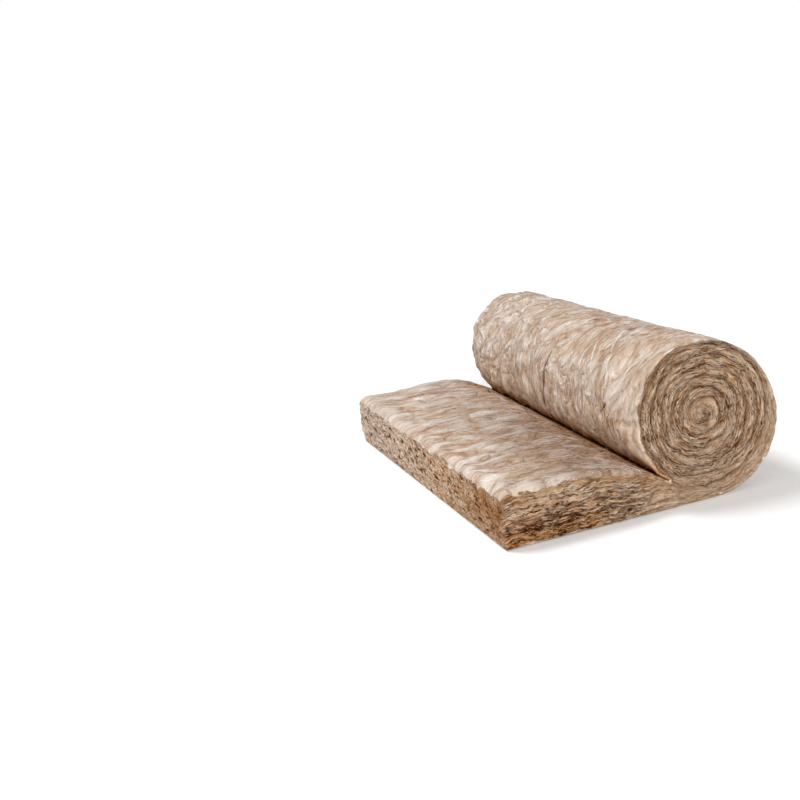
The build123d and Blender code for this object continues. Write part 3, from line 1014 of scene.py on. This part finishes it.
def fibre_tree(finish, sizes):
    """Fine fibres that lie on the wool and lift off it at one end."""
    tree, g, inputs = new_tree("wool fibres", sizes)
    surface = inputs["Geometry"]
    density = g.times(field(g, "sown"), inputs["density"])
    points = g.add("GeometryNodeDistributePointsOnFaces", {
        "Mesh": surface, "Density": density, "Seed": inputs["seed"]}, out=None)
    stray = g.add("FunctionNodeRandomValue", {0: (-1.0, -1.0, -1.0), 1: (1.0, 1.0, 1.0), "Seed": 1},
                  data_type="FLOAT_VECTOR")
    aim = g.vector("MULTIPLY_ADD", stray, g.join(*[inputs["stray"]] * 3), field(g, "run", "FLOAT_VECTOR"))
    along = g.add("FunctionNodeAlignRotationToVector", {"Vector": aim}, axis="X")
    facing = g.add("FunctionNodeAlignRotationToVector", {
        "Rotation": along, "Vector": points.outputs["Normal"]}, axis="Z", pivot_axis="X")
    line = g.add("GeometryNodeCurvePrimitiveLine", {"Start": (-0.5, 0.0, 0.0), "End": (0.5, 0.0, 0.0)})
    line = g.add("GeometryNodeResampleCurve", {"Curve": line, "Count": inputs["joints"]})
    length = g.add("FunctionNodeRandomValue", {2: 0.35, 3: 1.0, "Seed": 2}, out=1, data_type="FLOAT")
    flipped = g.add("FunctionNodeRandomValue", {"Seed": 3}, out=3, data_type="BOOLEAN")
    size = g.times(g.times(length, inputs["length"]), g.minus(g.times(flipped, 2.0), 1.0))
    strands = g.add("GeometryNodeInstanceOnPoints", {
        "Points": points.outputs["Points"], "Instance": line, "Rotation": facing,
        "Scale": g.join(size, 1.0, 1.0)})
    shade = g.add("FunctionNodeRandomValue", {2: 0.0, 3: 1.0, "Seed": 4}, out=1, data_type="FLOAT")
    strands = stored(g, strands, "shade", shade, "INSTANCE")
    strands = stored(g, strands, "strand", g.add("GeometryNodeInputIndex"), "INSTANCE")
    strands = g.add("GeometryNodeRealizeInstances", (strands,))

    # Bend each strand its own way, then lay it back on the wool with its tip lifted
    place = g.add("GeometryNodeInputPosition")
    own = g.vector("ADD", place, g.scaled((3.0, 5.0, 7.0), field(g, "shade")))
    bend = g.vector("MULTIPLY_ADD", g.drift(own, 0.016, 113.0), g.join(*[inputs["curl"]] * 3), place)
    nearest = g.add("GeometryNodeProximity", {0: surface, "Sample Position": bend}, target_element="FACES")
    out = g.add("GeometryNodeSampleNearestSurface", {
        "Mesh": surface, "Value": field(g, "rise", "FLOAT_VECTOR"), "Sample Position": bend},
        data_type="FLOAT_VECTOR")
    how_far = g.add("GeometryNodeSplineParameter")
    own_lift = g.times(g.calc("POWER", how_far, 2.2), g.ramp(field(g, "shade"), 0.35, 1.0))
    laid = g.vector("ADD", nearest, g.scaled(out, g.fit(own_lift, inputs["lift"], inputs["thickness"])))
    laid = g.vector("MAXIMUM", laid, (-FLOOR_REACH, -FLOOR_REACH, FIBRE_CLEARANCE))
    strands = g.add("GeometryNodeSetPosition", {"Geometry": strands, "Position": laid})
    ring = g.add("GeometryNodeCurvePrimitiveCircle", {"Resolution": 3, "Radius": 1.0})
    tubes = g.add("GeometryNodeCurveToMesh", {
        "Curve": strands, "Profile Curve": ring, "Fill Caps": True,
        "Scale": g.times(g.ramp(how_far, 1.0, 0.3, 0.3), inputs["thickness"])})

    # Each strand has one small square of the bake map
    corner = g.add("GeometryNodeFaceOfCorner", out="Index in Face")
    strand = field(g, "strand")
    right = g.times(g.calc("COMPARE", corner, 1.5, 0.6), MAP_SQUARE)
    upper = g.times(g.calc("GREATER_THAN", corner, 1.5), MAP_SQUARE)
    u = g.plus(g.calc("FLOORED_MODULO", strand, MAP_COLUMNS), g.plus(right, MAP_MARGIN))
    v = g.plus(g.calc("FLOOR", g.calc("DIVIDE", strand, MAP_COLUMNS)), g.plus(upper, MAP_MARGIN))
    cell = g.scaled(g.join(u, v), 1 / MAP_COLUMNS)
    finish_tree(g, stored(g, tubes, "OFBake", cell, "CORNER", "FLOAT2"), finish)
    return tree


def fibre_material(name, dark, middle, light):
    """A fibre's finish: each strand has its own shade, with the same slow drift of tone as the wool."""
    material = bpy.data.materials.new(name)
    g = emptied(material)
    drift = g.noise(g.add("ShaderNodeTexCoord", out="Object"), (0.03, 0.03, 0.03), 5.0)
    tone = g.fit(g.minus(drift, 0.5), 0.8, attribute(g, "shade"))
    colour = g.tint(g.ramp(tone, 0.05, 0.4), dark, middle)
    end_finish(g, g.tint(g.ramp(tone, 0.45, 0.9), colour, light), 0.9)
    return material


def read_values(mesh, name, kind="value", width=1):
    values = np.empty(len(mesh.attributes[name].data) * width, np.float32)
    mesh.attributes[name].data.foreach_get(kind, values)
    return values if width == 1 else values.reshape(-1, width)


def sow(name, wool, sown, tree, sizes):
    """Grow fibres on the wool where sown is above zero, as one piece."""
    ground = wool.copy()
    ground.attributes.new("sown", "FLOAT", "POINT").data.foreach_set("value", sown.astype(np.float32))
    piece = grown(name, ground, tree, sizes)
    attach(piece, "root")


# The fibres' bake map: how many cells in a row, and each strand's square in its cell
MAP_COLUMNS = 96
MAP_MARGIN = 0.15
MAP_SQUARE = 0.7

# The floor, in metres, and how far above it fibres stay
FLOOR_REACH = 60.0
FLOOR_DROP = 0.0004
FIBRE_CLEARANCE = 0.0005

# The blanket
RELIEF = {"fold depth": 0.0045, "brush depth": 0.0032, "layer depth": 0.0085, "crumb depth": 0.008,
          "gap depth": 0.007}
glass_wool = wool_material()
blanket = grown("blanket", blanket_mesh(), relief_tree(glass_wool, RELIEF), RELIEF)
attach(blanket, "root")
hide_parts("wool_blanket")

# Fibres: where they grow, and what each kind has that differs
OFF_FLOOR = 0.004
NIP_CLEARANCE = 0.016
NIP_FADE_START = 0.06
NIP_FADE = 0.05
LIP_FIBRES = 2.0
LIP_WIDTH = 0.02
FIBRES = {"density": 20000.0, "seed": 1, "length": 0.03, "thickness": 0.00014, "lift": 0.0035, "stray": 0.45,
          "curl": 0.012, "joints": 5}
wool = blanket.data
spots = read_values(wool, "position", "vector", 3)
cut, tail, end, gap = (read_values(wool, name) for name in ("cut", "tail", "end", "gap"))
facing = read_values(wool, "rise", "vector", 3)
by_edge = np.minimum(spots[:, 0] - LOW.x - END_SKEW / 2, spots[:, 1] - LOW.y)
at_lip = 1 + LIP_FIBRES * np.clip(1 - by_edge / LIP_WIDTH, 0, 1)
off_nip = np.clip((spots[:, 2] - NIP_FADE_START) / NIP_FADE, 0.0, 1)
on_skin = (cut < 0.5) & (spots[:, 2] > OFF_FLOOR)
on_tail = (tail >= 0.3) & (spots[:, 0] < NIP_X - NIP_CLEARANCE)
on_face = (cut >= 0.5) & (end < 0.5) & (gap < 0.5)
pale_fibres = fibre_tree(fibre_material("pale fibre", SKIN, PALE, WHITE_WOOL), FIBRES)
brown_fibres = fibre_tree(fibre_material("brown fibre", CUT_DARK, CUT_MID, CHIP), FIBRES)
for name, sown, tree, sizes in (
    ("roll_fibres", off_nip * (on_skin & (tail < 0.3)), pale_fibres,
     {"density": 17000.0, "seed": 2, "stray": 0.6}),
    ("tail_fibres", at_lip * (on_skin & on_tail), pale_fibres,
     {"density": 14000.0, "seed": 3, "length": 0.024, "stray": 0.7}),
    ("near_fibres", on_face & (facing[:, 1] < 0), brown_fibres,
     {"density": 40000.0, "seed": 4, "length": 0.009}),
    ("far_fibres", on_face & (facing[:, 1] > 0), brown_fibres,
     {"density": 40000.0, "seed": 5, "length": 0.009}),
    ("end_fibres", end > 0.5, brown_fibres, {"density": 16000.0, "seed": 6, "length": 0.009}),
):
    sow(name, wool, sown, tree, FIBRES | sizes)

# Camera
CAMERA_PLACE = Vector((-0.53328, -1.40704, 0.48774))
CAMERA_YAW = math.radians(13.2525)
CAMERA_PITCH = math.radians(13.768)
CAMERA_ROLL = math.radians(-9.236)
camera_data = bpy.data.cameras.new("camera")
camera_data.lens = 47.25
camera_data.sensor_width = 36
camera = put("camera", camera_data)
forward = Vector((math.sin(CAMERA_YAW) * math.cos(CAMERA_PITCH),
                  math.cos(CAMERA_YAW) * math.cos(CAMERA_PITCH), -math.sin(CAMERA_PITCH)))
level = Vector((math.cos(CAMERA_YAW), -math.sin(CAMERA_YAW), 0))
upright = level.cross(forward)
across = math.cos(CAMERA_ROLL) * level + math.sin(CAMERA_ROLL) * upright
above = math.cos(CAMERA_ROLL) * upright - math.sin(CAMERA_ROLL) * level
turn = Matrix((across, above, -forward)).transposed().to_4x4()
camera.matrix_world = Matrix.Translation(CAMERA_PLACE) @ turn
bpy.context.scene.camera = camera

# Floor
floor_mesh = bpy.data.meshes.new("floor")
corners = [(x * FLOOR_REACH, y * FLOOR_REACH, -FLOOR_DROP) for x, y in ((-1, -1), (1, -1), (1, 1), (-1, 1))]
floor_mesh.from_pydata(corners, [], [(0, 1, 2, 3)])
floor = put("floor", floor_mesh)
floor_finish = bpy.data.materials.new("pale floor")
g = emptied(floor_finish)
paper = g.add("ShaderNodeBsdfDiffuse", ((0.92, 0.92, 0.92, 1.0),))
lift = g.add("ShaderNodeEmission", {"Color": (1.0, 1.0, 1.0, 1.0), "Strength": 0.05})
seen = g.add("ShaderNodeLightPath", out="Is Camera Ray")
lifted = g.add("ShaderNodeAddShader", (paper, lift))
g.add("ShaderNodeOutputMaterial", (g.add("ShaderNodeMixShader", (seen, paper, lifted)),), out=None)
floor_mesh.materials.append(floor_finish)

# Light
WORLD_LIGHT = 0.42
world = bpy.data.worlds.new("studio")
bpy.context.scene.world = world
g = emptied(world)
path = g.add("ShaderNodeLightPath", out=None).outputs
seen = g.most(path["Is Camera Ray"], path["Is Glossy Ray"], path["Is Transmission Ray"])
backdrop = g.add("ShaderNodeBackground", ((1.0, 1.0, 1.0, 1.0), g.mix(seen, WORLD_LIGHT, 1.0)))
g.add("ShaderNodeOutputWorld", (backdrop,), out=None)

# Wide soft suns: where each shines, how strongly and how wide it is
for name, heading, strength, spread in (
    ("key", (0.42, -0.38, -1.0), 1.8, 22),
    ("fill", (0.1, 1.0, -0.48), 1.85, 30),
    ("side", (1.0, 0.25, -0.08), 0.95, 40),
):
    lamp = bpy.data.lights.new(name, "SUN")
    lamp.energy = strength
    lamp.angle = math.radians(spread)
    put(name, lamp).rotation_euler = Vector(heading).to_track_quat("-Z", "Y").to_euler()

bpy.context.scene.view_settings.view_transform = "Standard"
